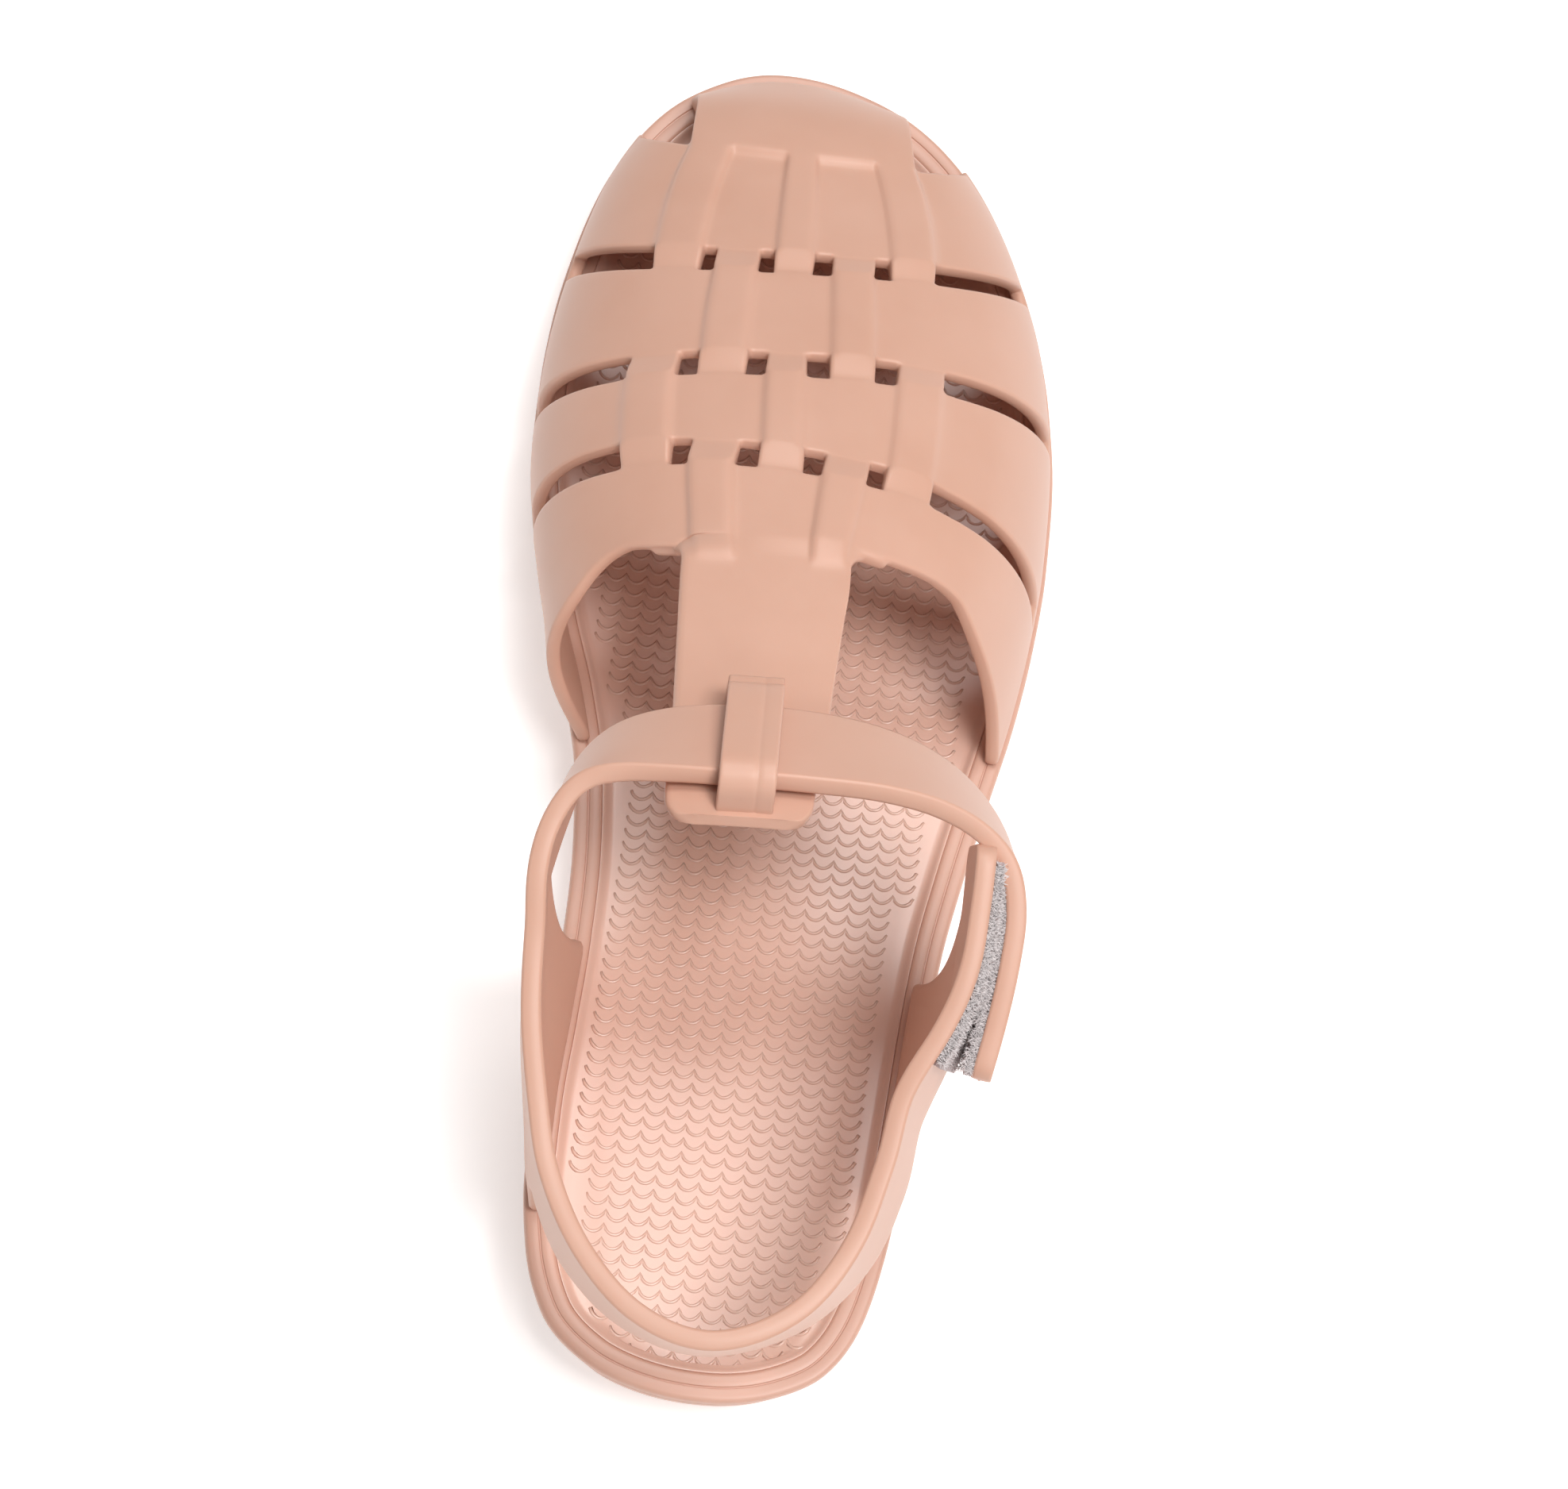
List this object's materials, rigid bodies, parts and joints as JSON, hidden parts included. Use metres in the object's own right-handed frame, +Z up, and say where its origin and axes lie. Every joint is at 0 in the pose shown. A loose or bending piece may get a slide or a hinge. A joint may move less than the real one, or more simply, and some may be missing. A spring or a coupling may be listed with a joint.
{
  "type": "jelly sandal",
  "caption": "Child's moulded jelly sandal for the right foot, with a woven upper, T-bar, keeper loop and hook-and-loop ankle strap.",
  "frame": {"origin": "middle of the sandal's box seen from above, on the floor under the sole", "axes": "+Z up from the floor, +Y from heel to toe, +X towards the lateral side of the foot"},
  "size_m": [0.067, 0.176, 0.0648],
  "materials": {
    "outsole_pvc": "satin",
    "footbed_pvc": "satin",
    "upper_pvc": "satin",
    "strap_pvc": "satin",
    "tape": "matte"
  },
  "bodies": {
    "root": {"outsole": "outsole_pvc", "footbed": "footbed_pvc", "upper": "upper_pvc", "heel_ankle_strap": "strap_pvc", "loop_tape": "tape", "hook_tape": "tape"}
  },
  "joints": []
}
